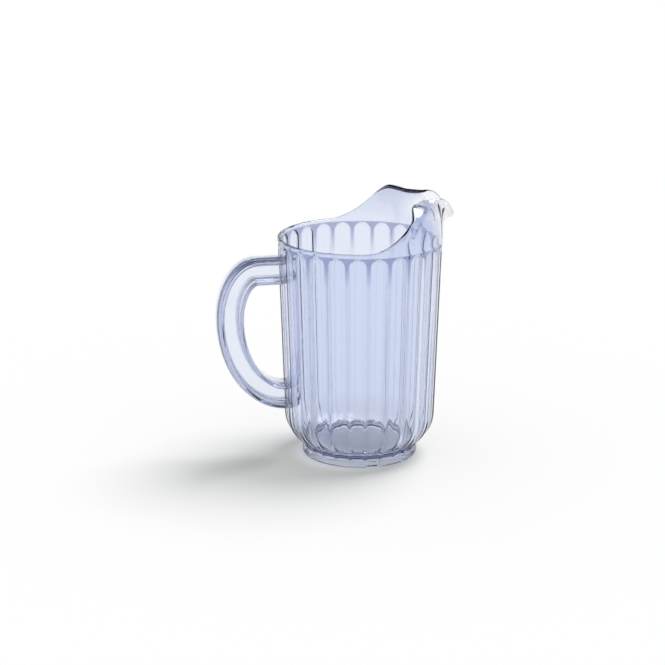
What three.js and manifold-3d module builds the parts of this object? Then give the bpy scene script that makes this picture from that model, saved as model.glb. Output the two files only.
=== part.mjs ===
// A clear moulded pitcher: a fluted, footed body with an ice-guard hood and a spout, and a C-shaped handle.
// Millimetres, +Z up. The spout points along +X, the handle along -X, and the foot stands on Z = 0.
import * as THREE from "three";
import { ParametricGeometry } from "three/addons/geometries/ParametricGeometry.js";
import { mergeVertices } from "three/addons/utils/BufferGeometryUtils.js";
import Module from "manifold-3d";

// Body wall
const RING_RADIUS = 65; // outside, over the ridges at the top of the flutes
const RING_HEIGHT = 174.6; // top of the flutes
const WALL_TAPER = 0.034; // radius gained per millimetre of height
const WALL = 3.2; // thickness between two flutes

// Flutes
const FLUTE_COUNT = 24;
const FLUTE_DEPTH = 1.3;
const RIDGE_WIDTH = 2; // flat left between two flutes at the ring

// Foot, floor and shoulder
const FOOT_RADIUS = 46;
const FOOT_HEIGHT = 6.4;
const FOOT_RING_WIDTH = 4.8;
const FOOT_EDGE = 1.3; // bevel of the foot's lower edge
const RECESS_SLOPE = 2.3; // run of the sloping wall of the hollow under the floor
const NECK_STEP = 0.5; // how far the neck lies inside the foot
const NECK_FILLET = 5;
const SHOULDER_RADIUS = 30;
const FLOOR = 4;
const DRAIN_NOTCH_WIDTH = 11;
const DRAIN_NOTCH_DEPTH = 1.2;

// Plain band, rim and hood: the rim is level at the back, climbs along the sides and rolls in over the hood
const BAND_STEP = 0.4; // how far the band stands proud of the flutes' ridges
const BAND_HEIGHT = 3.4; // from the ring to the level rim
const HOOD_HEIGHT = 31; // from the level rim to the hood's crest
const HOOD_OVERHANG = 16.8; // from the outside of the band in to the hood's edge
const HOOD_ROLL_HEIGHT = 15.5; // height over which the hood rolls in
const HOOD_EDGE_DROP = 0.2; // hood's edge below the crest, where the climb ends and along the spout
const RISE_START_ANGLE = 98.8; // degrees round from the spout where the rim leaves its level stretch
const RISE_END_ANGLE = 50; // degrees round from the spout where the climb meets the hood's edge
const RISE_EASE = 15; // how far the climb runs on before it steepens
const RISE_STEEP_RUN = 4.6; // run and height of the climb's last, steep stretch
const RISE_STEEP_HEIGHT = 16.2;

// Spout: a channel through the hood that ends in a drooping lip
const SPOUT_WIDTH = 35;
const SPOUT_FLARE = 6.2; // how far the hood's edge opens out towards the channel
const SPOUT_CHANNEL_LENGTH = 5.2; // beyond the hood's edge
const SPOUT_REACH = 10.4; // beyond the band
const SPOUT_DROOP = 18.6; // from the channel's edge down to the tip
const SPOUT_ENTRY_TILT = -33; // degrees that the wall leans out at the channel's start, and at the tip
const SPOUT_TIP_TILT = 72;
const SPOUT_LIP_ROUNDNESS = 0.5; // 0.5 is an elliptical lip seen from above, 1 a pointed one

// Handle: an I-section swept along a straight upper arm and two quarter ellipses
const HANDLE_BELOW_RING = 19.8; // from the ring down to the centre line of the upper arm
const HANDLE_BOTTOM = 50.9; // centre line where the lower sweep meets the wall
const HANDLE_GRIP_DROP = 37.9; // from the upper arm down to where the grip stands furthest out
const HANDLE_FINGER_ROOM = 30.4; // from the ring's radius out to the grip
const HANDLE_ARM = 19.4; // straight part of the upper arm
const HANDLE_WIDTH = 23;
const HANDLE_DEPTH = 20.6;
const HANDLE_FLANGE = 3;
const HANDLE_WEB = 4;
const HANDLE_FILLET = 1.6;
const HANDLE_CROWN = 2.2; // rounding of the outer flange's back
const JOINT_GAP = 0.3; // glue line between the handle's ends and the wall

// Fineness of the faceted surfaces
const STEPS_PER_FLUTE = 4;
const NECK_STEPS = 2;
const SHOULDER_STEPS = 5;
const RISE_STEPS = 6;
const HOOD_STEPS = 6;
const RIM_STEPS = 4;
const HANDLE_STEPS = 48;
const CROWN_STEPS = 4;
const RIM_DIVISIONS = 800; // stretches over which the rim's length is measured

const COLUMNS = FLUTE_COUNT * STEPS_PER_FLUTE;
const UP = new THREE.Vector3(0, 0, 1);
const { clamp, degToRad, lerp } = THREE.MathUtils;

const wasm = await Module();
wasm.setup();

// Keeps positions only, joins equal corners and drops the triangles that have collapsed at the axis.
function closedSurface(geometry) {
  geometry.deleteAttribute("normal");
  geometry.deleteAttribute("uv");
  const merged = mergeVertices(geometry, 1e-3);
  const corners = merged.index.array;
  const kept = [];
  for (let i = 0; i < corners.length; i += 3) {
    const [a, b, c] = corners.slice(i, i + 3);
    if (a !== b && b !== c && c !== a) kept.push(a, b, c);
  }
  merged.setIndex(kept);
  return merged;
}

function toSolid(geometry) {
  const surface = closedSurface(geometry);
  const mesh = new wasm.Mesh({
    numProp: 3,
    vertProperties: new Float32Array(surface.attributes.position.array),
    triVerts: new Uint32Array(surface.index.array),
  });
  return new wasm.Manifold(mesh);
}

function toGeometry(solid) {
  const mesh = solid.getMesh();
  const geometry = new THREE.BufferGeometry();
  geometry.setAttribute("position", new THREE.BufferAttribute(mesh.vertProperties, 3));
  geometry.setIndex(new THREE.BufferAttribute(mesh.triVerts, 1));
  return geometry;
}

// A surface round the body's axis. Each row is a function from an angle to a point.
function rowsToSurface(rows) {
  const last = rows.length - 1;
  const place = (u, v, target) => {
    const angle = (2 * Math.PI * Math.round(u * COLUMNS)) / COLUMNS;
    target.copy(rows[Math.round(v * last)](angle));
  };
  return new ParametricGeometry(place, COLUMNS, last);
}

const turned = (radius, z, angle) =>
  new THREE.Vector3(radius * Math.cos(angle), radius * Math.sin(angle), z);
const plainRow = (radius, z) => (angle) => turned(radius, z, angle);
const evenShares = (steps) => Array.from({ length: steps + 1 }, (_, i) => i / steps);

// Wall profile. The shoulder's arc touches the wall's line and the fillet above the foot.

const wallRadius = (z) => RING_RADIUS - WALL_TAPER * (RING_HEIGHT - z);
const wallLean = Math.atan(WALL_TAPER);
const neckCentre = new THREE.Vector2(FOOT_RADIUS - NECK_STEP + NECK_FILLET, FOOT_HEIGHT + NECK_STEP);
const shoulderCentre = findShoulderCentre();
const floorTop = shoulderCentre.y - (SHOULDER_RADIUS - WALL);
const underside = floorTop - FLOOR;

function findShoulderCentre() {
  const reach = SHOULDER_RADIUS + NECK_FILLET;
  const slope = Math.hypot(1, WALL_TAPER);
  const offset = wallRadius(0) - SHOULDER_RADIUS * slope - neckCentre.x;
  const half = offset * WALL_TAPER - neckCentre.y;
  const rest = offset ** 2 + neckCentre.y ** 2 - reach ** 2;
  const z = (-half + Math.sqrt(half ** 2 - slope ** 2 * rest)) / slope ** 2;
  return new THREE.Vector2(neckCentre.x + offset + WALL_TAPER * z, z);
}

function arcPoints(centre, radius, from, to, steps) {
  return new THREE.EllipseCurve(centre.x, centre.y, radius, radius, from, to, to < from).getPoints(steps);
}

const bend = Math.atan2(neckCentre.y - shoulderCentre.y, neckCentre.x - shoulderCentre.x);
const neckArc = arcPoints(neckCentre, NECK_FILLET, Math.PI, Math.PI + bend, NECK_STEPS);
const shoulderArc = arcPoints(shoulderCentre, SHOULDER_RADIUS, bend, -wallLean, SHOULDER_STEPS);
const innerArc = arcPoints(shoulderCentre, SHOULDER_RADIUS - WALL, -wallLean, -Math.PI / 2, SHOULDER_STEPS);

// Foot: a contact ring round a shallow hollow, raised at a drain notch on either side.

const footRow = (radius) => (angle) => {
  const fromNotch = Math.abs(Math.cos(angle)) * FOOT_RADIUS;
  return turned(radius, fromNotch < DRAIN_NOTCH_WIDTH / 2 ? DRAIN_NOTCH_DEPTH : 0, angle);
};

function footRows() {
  const inner = FOOT_RADIUS - FOOT_RING_WIDTH;
  return [
    plainRow(0, underside),
    plainRow(inner - RECESS_SLOPE, underside),
    footRow(inner),
    footRow(FOOT_RADIUS - FOOT_EDGE),
    plainRow(FOOT_RADIUS, FOOT_EDGE),
    plainRow(FOOT_RADIUS, FOOT_HEIGHT),
  ];
}

// Flutes: hollows of parabolic section with half-round tops that touch the ring.

const flutePitch = (2 * Math.PI * RING_RADIUS) / FLUTE_COUNT;
const archHeight = (flutePitch - RIDGE_WIDTH) / 2;
const archFoot = RING_HEIGHT - archHeight;

function fluteDepth(angle, z) {
  const turns = (angle * FLUTE_COUNT) / (2 * Math.PI);
  const across = Math.abs(turns - Math.round(turns)) * flutePitch;
  const rise = Math.max(0, z - archFoot);
  return FLUTE_DEPTH * Math.max(0, 1 - (across ** 2 + rise ** 2) / archHeight ** 2);
}

const flutedRow = (radius, z) => (angle) => turned(radius - fluteDepth(angle, z), z, angle);

function flutedRows() {
  const archRows = [0, 0.45, 0.75, 0.93].map((share) => archFoot + share * archHeight);
  return [
    ...[...neckArc, ...shoulderArc.slice(1)].map((p) => flutedRow(p.x, p.y)),
    ...archRows.map((z) => flutedRow(wallRadius(z), z)),
    plainRow(RING_RADIUS, RING_HEIGHT),
  ];
}

// The rim's line, from the end of its level stretch over the spout's tip to the level stretch again. The tilt
// says how the wall leans there: 0 is upright, a negative tilt leans in and a positive one leans out.

const bandRadius = RING_RADIUS + BAND_STEP;
const bandBottom = RING_HEIGHT + BAND_STEP;
const levelRim = RING_HEIGHT + BAND_HEIGHT;
const crest = levelRim + HOOD_HEIGHT;
const hoodEdge = crest - HOOD_EDGE_DROP;
const openingRadius = bandRadius - HOOD_OVERHANG;
const riseStart = degToRad(RISE_START_ANGLE);

const rollAngle = (z) => Math.asin(clamp(1 - (crest - z) / HOOD_ROLL_HEIGHT, 0, 1));
const hoodRadius = (z) => bandRadius - HOOD_OVERHANG * (1 - Math.cos(rollAngle(z)));

function sideRise() {
  const startX = bandRadius * Math.cos(riseStart);
  const endX = openingRadius * Math.cos(degToRad(RISE_END_ANGLE));
  const curve = new THREE.CubicBezierCurve(
    new THREE.Vector2(startX, levelRim),
    new THREE.Vector2(startX + RISE_EASE, levelRim),
    new THREE.Vector2(endX - RISE_STEEP_RUN, hoodEdge - RISE_STEEP_HEIGHT),
    new THREE.Vector2(endX, hoodEdge),
  );
  return curve.getPoints(RISE_STEPS).map((p) => ({
    point: new THREE.Vector3(p.x, Math.sqrt(hoodRadius(p.y) ** 2 - p.x ** 2), p.y),
    tilt: -rollAngle(p.y),
  }));
}

function spoutEdge() {
  const side = SPOUT_WIDTH / 2;
  const endX = bandRadius + SPOUT_REACH;
  const start = new THREE.Vector3(openingRadius + SPOUT_FLARE, side, hoodEdge);
  const lipX = start.x + SPOUT_CHANNEL_LENGTH;
  const lip = [0, 0.3, 0.6, 0.85, 0.96, 1].map((share) => ({
    point: new THREE.Vector3(
      lerp(lipX, endX, share),
      side * (1 - share ** 2) ** SPOUT_LIP_ROUNDNESS,
      hoodEdge - SPOUT_DROOP * share ** 2,
    ),
    tilt: degToRad(SPOUT_TIP_TILT * share),
  }));
  return [{ point: start, tilt: degToRad(SPOUT_ENTRY_TILT) }, ...lip];
}

// The hood's edge between the climb and the spout follows the round opening.
function crestEdge(spoutStart) {
  const spoutAngle = Math.atan2(spoutStart.point.y, spoutStart.point.x);
  return [0.3, 0.65].map((share) => ({
    point: turned(openingRadius, crest, lerp(degToRad(RISE_END_ANGLE), spoutAngle, share)),
    tilt: lerp(-Math.PI / 2, spoutStart.tilt, share ** 2),
  }));
}

const spoutStations = spoutEdge();
const oneSide = [...sideRise(), ...crestEdge(spoutStations[0]), ...spoutStations];
const otherSide = oneSide.slice(0, -1).reverse().map(({ point, tilt }) => ({
  point: new THREE.Vector3(point.x, -point.y, point.z),
  tilt,
}));
const rimStations = [...oneSide, ...otherSide];
const rimCurve = new THREE.CatmullRomCurve3(rimStations.map((station) => station.point));
rimCurve.arcLengthDivisions = RIM_DIVISIONS;

function rimTilt(t) {
  const at = t * (rimStations.length - 1);
  const before = Math.min(Math.floor(at), rimStations.length - 2);
  return lerp(rimStations[before].tilt, rimStations[before + 1].tilt, at - before);
}

// The top of the rim's crown at an angle round the body, the way out over the edge there, which is square to
// the rim's line, and the way in which the wall climbs to it.
function rimAt(angle) {
  const turn = Math.atan2(Math.sin(angle), Math.cos(angle));
  if (Math.abs(turn) >= riseStart) return { crown: turned(bandRadius, levelRim, turn), along: UP, climb: UP };
  const u = (riseStart - turn) / (2 * riseStart);
  const crown = rimCurve.getPointAt(u);
  const tilt = rimTilt(rimCurve.getUtoTmapping(u));
  const out = new THREE.Vector3(crown.x, crown.y, 0).normalize();
  const face = out.clone().multiplyScalar(Math.cos(tilt)).addScaledVector(UP, -Math.sin(tilt));
  const along = rimCurve.getTangentAt(u).cross(face).normalize();
  const climb = out.multiplyScalar(Math.sin(tilt)).addScaledVector(UP, Math.cos(tilt)).add(along).normalize();
  return { crown, along, climb };
}

// The outside between the band's foot and the rim, at a share of the way up: upright at first, then leaning
// as the rim does. The two pulls say how far each lean carries on, as shares of the span.
function hoodPoint(angle, share) {
  const wallPull = 0.68;
  const rimPull = 0.36;
  const { crown, along, climb } = rimAt(angle);
  const foot = turned(bandRadius, bandBottom, angle);
  const edge = crown.clone().addScaledVector(along, -WALL / 2);
  const span = foot.distanceTo(edge);
  const curve = new THREE.CubicBezierCurve3(
    foot,
    foot.clone().addScaledVector(UP, span * wallPull),
    edge.clone().addScaledVector(climb, -span * rimPull),
    edge,
  );
  return curve.getPoint(share);
}

function hoodNormal(angle, share) {
  const step = 0.02;
  const around = hoodPoint(angle + step, share).sub(hoodPoint(angle - step, share));
  const below = hoodPoint(angle, Math.max(0, share - step));
  const up = hoodPoint(angle, Math.min(1, share + step)).sub(below);
  return around.cross(up).normalize();
}

const hoodRow = (share, depth) => (angle) =>
  hoodPoint(angle, share).addScaledVector(hoodNormal(angle, share), -depth);

// The rim's round crown, swept from the outside edge over to the inside edge
const crownRow = (sweep) => (angle) => {
  const normal = hoodNormal(angle, 1);
  return hoodPoint(angle, 1)
    .addScaledVector(normal, (WALL / 2) * (Math.cos(sweep) - 1))
    .addScaledVector(rimAt(angle).along, (WALL / 2) * Math.sin(sweep));
};

// Body: from the axis under the floor, up the outside, over the rim, down the inside and back to the axis.
function bodyGeometry() {
  const shares = evenShares(HOOD_STEPS);
  const sweeps = evenShares(RIM_STEPS).slice(1, -1).map((share) => Math.PI * share);
  const rows = [
    ...footRows(),
    ...flutedRows(),
    ...shares.map((share) => hoodRow(share, 0)),
    ...sweeps.map((sweep) => crownRow(sweep)),
    ...shares.reverse().map((share) => hoodRow(share, WALL)),
    ...innerArc.map((p) => plainRow(p.x, p.y)),
    plainRow(0, floorTop),
  ];
  return closedSurface(rowsToSurface(rows));
}

// The filled outside of the fluted wall, grown by a clearance
function wallBlock(clearance) {
  const grown = flutedRows().map((row) => (angle) => row(angle).add(turned(clearance, 0, angle)));
  return toSolid(rowsToSurface([plainRow(0, neckCentre.y), ...grown, plainRow(0, RING_HEIGHT)]));
}

// A quarter ellipse that stands upright in the pitcher's middle plane
class UprightEllipse extends THREE.EllipseCurve {
  getPoint(t, target = new THREE.Vector3()) {
    const flat = super.getPoint(t, new THREE.Vector2());
    return target.set(flat.x, 0, flat.y);
  }
}

// The handle's centre line, which starts and ends inside the wall.
function handlePath() {
  const topZ = RING_HEIGHT - HANDLE_BELOW_RING;
  const gripZ = topZ - HANDLE_GRIP_DROP;
  const gripX = RING_RADIUS + HANDLE_FINGER_ROOM + HANDLE_DEPTH / 2;
  const armX = wallRadius(topZ) + HANDLE_ARM;
  const bottomX = wallRadius(HANDLE_BOTTOM);
  const buried = HANDLE_WIDTH / 2;
  const level = (fromX, toX, z) =>
    new THREE.LineCurve3(new THREE.Vector3(-fromX, 0, z), new THREE.Vector3(-toX, 0, z));
  const quarter = (centreX, height, from) =>
    new UprightEllipse(-centreX, gripZ, gripX - centreX, height, from, from + Math.PI / 2);
  const path = new THREE.CurvePath();
  path.add(level(armX - HANDLE_ARM - buried, armX, topZ));
  path.add(quarter(armX, HANDLE_GRIP_DROP, Math.PI / 2));
  path.add(quarter(bottomX, gripZ - HANDLE_BOTTOM, Math.PI));
  path.add(level(bottomX, bottomX - buried, HANDLE_BOTTOM));
  return path;
}

// The sweep takes the section's x towards the fingers and its y across the handle.
function handleSection() {
  const side = HANDLE_WIDTH / 2;
  const fingers = HANDLE_DEPTH / 2;
  const back = HANDLE_CROWN - fingers;
  const web = HANDLE_WEB / 2;
  const webFoot = web + HANDLE_FILLET;
  const innerFlange = fingers - HANDLE_FLANGE;
  const outerFlange = back + HANDLE_FLANGE;
  const section = new THREE.Shape();
  section.moveTo(back, -side);
  section.quadraticCurveTo(back - 2 * HANDLE_CROWN, 0, back, side);
  section.lineTo(outerFlange, side);
  section.lineTo(outerFlange, webFoot);
  section.lineTo(outerFlange + HANDLE_FILLET, web);
  section.lineTo(innerFlange - HANDLE_FILLET, web);
  section.lineTo(innerFlange, webFoot);
  section.lineTo(innerFlange, side);
  section.lineTo(fingers, side);
  section.lineTo(fingers, -side);
  section.lineTo(innerFlange, -side);
  section.lineTo(innerFlange, -webFoot);
  section.lineTo(innerFlange - HANDLE_FILLET, -web);
  section.lineTo(outerFlange + HANDLE_FILLET, -web);
  section.lineTo(outerFlange, -webFoot);
  section.lineTo(outerFlange, -side);
  section.closePath();
  return section;
}

function handleGeometry() {
  const sweep = new THREE.ExtrudeGeometry(handleSection(), {
    steps: HANDLE_STEPS,
    extrudePath: handlePath(),
    curveSegments: CROWN_STEPS,
    bevelEnabled: false,
  });
  return toGeometry(toSolid(sweep).subtract(wallBlock(JOINT_GAP)));
}

// Assembly. The origin lies under the middle of the whole pitcher, on the surface that it stands on.

function piece(name, geometry, color) {
  const plastic = { color, roughness: 0.08, metalness: 0, transparent: true, opacity: 0.4 };
  const mesh = new THREE.Mesh(geometry, new THREE.MeshStandardMaterial(plastic));
  mesh.name = name;
  return mesh;
}

const pitcher = new THREE.Group();
pitcher.add(piece("pitcher_body", bodyGeometry(), 0xccd2ea));
pitcher.add(piece("handle", handleGeometry(), 0xc6cce8));

const box = new THREE.Box3().setFromObject(pitcher);
pitcher.position.x = -(box.min.x + box.max.x) / 2;

export default pitcher;
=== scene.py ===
"""Looks of a clear moulded pitcher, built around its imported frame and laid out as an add-on."""
import math

import bpy
import numpy as np
from bpy.props import FloatProperty, FloatVectorProperty, IntProperty, PointerProperty
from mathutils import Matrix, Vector


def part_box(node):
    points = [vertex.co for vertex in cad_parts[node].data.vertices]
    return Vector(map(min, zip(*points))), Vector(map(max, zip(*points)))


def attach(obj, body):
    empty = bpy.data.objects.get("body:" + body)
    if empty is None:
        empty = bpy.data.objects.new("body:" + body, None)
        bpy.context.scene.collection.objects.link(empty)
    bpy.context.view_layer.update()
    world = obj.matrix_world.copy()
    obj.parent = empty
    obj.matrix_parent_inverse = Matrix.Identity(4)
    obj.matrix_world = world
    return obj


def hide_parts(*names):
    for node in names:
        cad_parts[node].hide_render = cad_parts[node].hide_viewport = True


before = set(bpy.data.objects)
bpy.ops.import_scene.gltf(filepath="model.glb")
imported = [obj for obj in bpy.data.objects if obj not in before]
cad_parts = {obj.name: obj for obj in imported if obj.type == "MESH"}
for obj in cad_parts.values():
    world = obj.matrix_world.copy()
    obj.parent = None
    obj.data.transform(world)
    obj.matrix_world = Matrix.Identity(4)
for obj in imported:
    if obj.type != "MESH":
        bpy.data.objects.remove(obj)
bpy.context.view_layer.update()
BODY_LOW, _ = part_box("pitcher_body")

bl_info = {
    "name": "Clear Pitcher",
    "version": (1, 0, 0),
    "blender": (4, 5, 0),
    "location": "3D View > Sidebar > Pitcher",
    "description": "Builds a clear fluted pitcher, its handle and a plain stage",
    "category": "Object",
}

SENSOR_WIDTH = 36.0  # millimetres

# Fineness of the meshes
COLUMNS_PER_FLUTE = 16
FOOT_STEPS = 6
NECK_STEPS = 8
SHOULDER_STEPS = 26
ARCH_STEPS = 16
STEP_STEPS = 4
HOOD_STEPS = 26
CROWN_STEPS = 12
INNER_STEPS = 20
EVEN_COLUMNS = 4  # columns on each side over which the hood's inner side is evened out
RISE_STEPS = 6
SPLINE_STEPS = 40
HANDLE_STEPS = 60
ROUND_STEPS = 5
SPAN_STEPS = 14
SECTION_STEP = 0.0011  # longest stretch of the handle's outline
FLOOR_SIDES = 64
SHARP_ANGLE = math.radians(42)  # edges that bend by more than this stay sharp

# Shares of the way along the hood's crest, and along the lip, at which the rim's line is fixed
CREST_SHARES = (0.3, 0.65)
LIP_SHARES = (0, 0.3, 0.6, 0.85, 0.96, 1)

FLAT_ENOUGH = 0.00001  # faces whose middle is lower than this stand on the ground
FLOOR_GAP = 0.00005  # keeps the floor clear of the foot's underside
SUNK_END = 0.005  # how far the handle's line runs into the wall before its ends are cut to it
SEAT_SLACK = 0.0005  # points of the handle this close to its seat on the wall are moved onto it
SWEPT_CORNERS = 4  # faces of the swept handle with more corners than this close its ends
SUN_DISTANCE = 2.0

# Where one tint of the body gives way to the next: painted light on the base, painted reflection on the
# hood, painted shade on the ridges
LIGHTENED_BASE_FADE = (0.016, 0.01)  # heights, from the wall's tint to the base's painted light
HOOD_REFLECTION_FADE = 0.029  # height above the level rim at which the hood has its full painted reflection
SPOUT_FADE = 0.008  # height above the level rim at which the spout has its full tint
SPOUT_FRONT = (0.044, 0.056)  # distances in front of the axis, from the hood's painted reflection to the spout's clear tint
RIDGE_SHADE_FADE = (0.0246, 0.0066)  # depths below the ring, from the ridges' least painted shade to their full one
RIDGE_SHADE_LEAST = 0.12
RIDGE_SHADE_RANGE = (0.35, 0.05)  # shares of the flutes' depth, from the flute's tint to the ridge's painted shade

# Smears and scratches: the noise's scale, the part of it that shows, and how much that part counts
SMEAR_SCALE = 38.0
SMEAR_RANGE = (0.52, 0.75)
SMEAR_WEAR = 0.12
SCRATCH_TURN = (0.3, 0.2, 0.5)
SCRATCH_SCALE = (900, 900, 45)
SCRATCH_RANGE = (0.66, 0.74)
SCRATCH_WEAR = 0.3
SCRATCH_DEPTH = 0.04
FOOT_WEAR = 0.5

# Finish of the clear plastic, and of plastic that is milky where it is bonded or scuffed
CLEAR_WAVES = 0.03  # size of the faint waves
CLEAR_WORN = 0.94  # share of the tint that wear leaves
CLEAR_BUMP = {"Strength": 0.12, "Distance": 0.001}
MILKY_WAVES = 0.004
MILKY_WORN = 0.8
MILKY_BUMP = {"Strength": 0.3, "Distance": 0.0004}
MILKY_POLISH = 0.35
MILKY_SCUFF = 0.6
NO_FOOT = -1.0  # a height that nothing lies below

CEILING_RANGE = (0.12, 0.5)  # how steeply up a ray looks, from the white round about to the ceiling
WHITE = (1, 1, 1, 1)


def length(name, default, description):
    """A property that holds a length in metres."""
    return FloatProperty(name=name, default=default, description=description, unit="LENGTH", precision=5)


def share(name, default, description):
    """A property that holds a plain number."""
    return FloatProperty(name=name, default=default, description=description, precision=4)


def angle(name, degrees, description):
    """A property that holds an angle, given in degrees and kept in radians."""
    default = math.radians(degrees)
    return FloatProperty(name=name, default=default, description=description, subtype="ANGLE")


def colour(name, default, description):
    """A property that holds a linear colour."""
    return FloatVectorProperty(
        name=name, default=default, description=description, subtype="COLOR", size=3, min=0, max=1
    )


def pointer(name, kind, description):
    """A property that holds a group of settings."""
    return PointerProperty(name=name, type=kind, description=description)


class PitcherBodySizes(bpy.types.PropertyGroup):
    """Wall, flutes, foot and floor."""

    ring_radius: length("Ring radius", 0.065, "Outside radius over the ridges at the ring")
    ring_height: length("Ring height", 0.1746, "Height of the ring at the top of the flutes")
    taper: share("Taper", 0.034, "Radius gained by the wall per unit of height")
    wall: length("Wall", 0.0032, "Wall thickness between two flutes")
    flutes: IntProperty(name="Flutes", default=24, description="Number of flutes round the wall", min=6)
    flute_depth: length("Flute depth", 0.0013, "Depth of a flute")
    flute_flatness: share("Flute flatness", 2.0, "1 for a round hollow, more for one with a flat middle")
    ridge_width: length("Ridge width", 0.002, "Flat left between two flutes at the ring")
    ridge_round: share("Ridge rounding", 0.16, "How softly a flute runs out into a ridge")
    foot_radius: length("Foot radius", 0.046, "Outside radius of the foot")
    foot_height: length("Foot height", 0.0064, "Height of the foot")
    foot_ring: length("Foot ring", 0.0048, "Width of the contact ring under the foot")
    foot_round: length("Foot rounding", 0.0013, "Rounding of the foot's lower edge")
    recess_slope: length("Recess slope", 0.0023, "Run of the sloping wall under the floor")
    neck_step: length("Neck step", 0.0005, "How far the neck lies inside the foot")
    neck_fillet: length("Neck fillet", 0.005, "Fillet between the neck and the shoulder")
    shoulder: length("Shoulder", 0.03, "Radius of the shoulder below the wall")
    floor: length("Floor", 0.004, "Thickness of the floor")
    notch_width: length("Notch width", 0.011, "Width of a drain notch in the foot")
    notch_depth: length("Notch depth", 0.0012, "Depth of a drain notch")
    notch_ease: length("Notch ease", 0.0012, "Run of a notch's sloping sides")


class PitcherHoodSizes(bpy.types.PropertyGroup):
    """Plain band, rim, hood and spout."""

    band_step: length("Band step", 0.0004, "How far the band stands proud of the ridges")
    band_height: length("Band height", 0.0034, "From the ring up to the level rim")
    height: length("Hood height", 0.031, "From the level rim up to the hood's crest")
    overhang: length("Overhang", 0.0168, "From the outside of the band in to the hood's edge")
    roll_height: length("Roll height", 0.0155, "Height over which the hood rolls in")
    edge_drop: length("Edge drop", 0.0002, "How far the edge beside the spout lies below the crest")
    rise_start: angle("Rise start", 98.8, "Where the rim leaves its level stretch, from the spout")
    rise_end: angle("Rise end", 50, "Where the climb meets the hood's edge, from the spout")
    rise_ease: length("Rise ease", 0.015, "How far the climb runs on before it steepens")
    rise_run: length("Rise run", 0.0046, "Run of the climb's last, steep stretch")
    rise_steep: length("Rise steep", 0.0162, "Height of the climb's last, steep stretch")
    spout_width: length("Spout width", 0.035, "Width of the channel")
    spout_flare: length("Spout flare", 0.0062, "How far the hood's edge opens out towards the channel")
    spout_channel: length("Spout channel", 0.0052, "Length of the channel beyond the hood's edge")
    spout_reach: length("Spout reach", 0.0104, "How far the lip reaches beyond the band")
    spout_droop: length("Spout droop", 0.0186, "From the channel's edge down to the tip")
    spout_entry: angle("Entry lean", -33, "How far the wall leans out at the channel's start")
    spout_tip: angle("Tip lean", 72, "How far the lip leans out at the tip")
    lip_round: share("Lip roundness", 0.5, "0.5 is an elliptical lip from above, 1 a pointed one")
    wall_pull: share("Wall pull", 0.68, "How far up the hood the wall stays upright")
    rim_pull: share("Rim pull", 0.36, "How far down the hood the rim's lean reaches")


class PitcherHandleSizes(bpy.types.PropertyGroup):
    """Handle of I-section on a straight upper arm and two quarter ellipses."""

    below_ring: length("Below ring", 0.0198, "From the ring down to the centre line of the upper arm")
    bottom: length("Bottom", 0.0509, "Height of the centre line at its lower end")
    grip_drop: length("Grip drop", 0.0379, "From the upper arm down to the grip's furthest point")
    finger_room: length("Finger room", 0.0304, "From the ring's radius out to the grip")
    arm: length("Arm", 0.0194, "Straight part of the upper arm")
    width: length("Width", 0.023, "Width across the flanges")
    depth: length("Depth", 0.0206, "Depth over both flanges")
    flange: length("Flange", 0.003, "Thickness of a flange")
    web: length("Web", 0.004, "Thickness of the web")
    fillet: length("Fillet", 0.0016, "Fillet between web and flange")
    crown: length("Crown", 0.0022, "Rounding of the outer flange's back")
    edge_round: length("Edge rounding", 0.0011, "Rounding of the flanges' edges")
    joint_gap: length("Joint gap", 0.0003, "Glue line between the handle and the wall")


class PitcherLooks(bpy.types.PropertyGroup):
    """Colours and finish of the clear plastic."""

    body_tint: colour("Body tint", (0.815, 0.855, 0.955), "Tint of one wall of the body")
    handle_tint: colour("Handle tint", (0.9, 0.93, 0.99), "Tint of the handle")
    # Painted shade: this colour darkens the ridges between the flutes, most near their tops
    ridge_shade_tint: colour("Ridge tint", (0.4, 0.44, 0.64), "Tint of the thick plastic between two flutes")
    # Painted reflection: the hood darker and bluer towards its crest, for the surroundings that it
    # reflects
    hood_reflection_tint: colour("Hood tint", (0.62, 0.67, 0.84), "Tint of the hood where it rolls in at its crest")
    spout_tint: colour("Spout tint", (1.0, 1.0, 1.0), "Tint of the spout, which is the clearest")
    # Painted light: the floor and the foot tinted nearly clear, lifting the shade that darkens them; in
    # shadows the same colour lets more light through to the ground beneath
    lightened_base_tint: colour("Base tint", (0.98, 0.985, 1.0), "Tint of the floor and the foot")
    shade_tint: colour("Shade tint", (0.73, 0.74, 0.72), "Light that each side of a wall lets through")
    bond_tint: colour("Bond tint", (0.94, 0.95, 1.0), "Colour of the handle's ends behind the wall")
    worn_tint: colour("Worn tint", (0.93, 0.93, 0.95), "Colour of the ring under the foot")
    depth_tint: colour("Depth tint", (0.2, 0.3, 0.7), "Colour that long ways through the plastic go to")
    body_density: share("Body density", 24.0, "How quickly the body darkens with depth, per metre")
    handle_density: share("Handle density", 28.0, "How quickly the handle darkens with depth, per metre")
    ior: share("IOR", 1.58, "Refractive index of the plastic")
    polish: share("Polish", 0.015, "Roughness where the plastic is clean")
    scuff: share("Scuff", 0.16, "Roughness where the plastic is scuffed")


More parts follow.
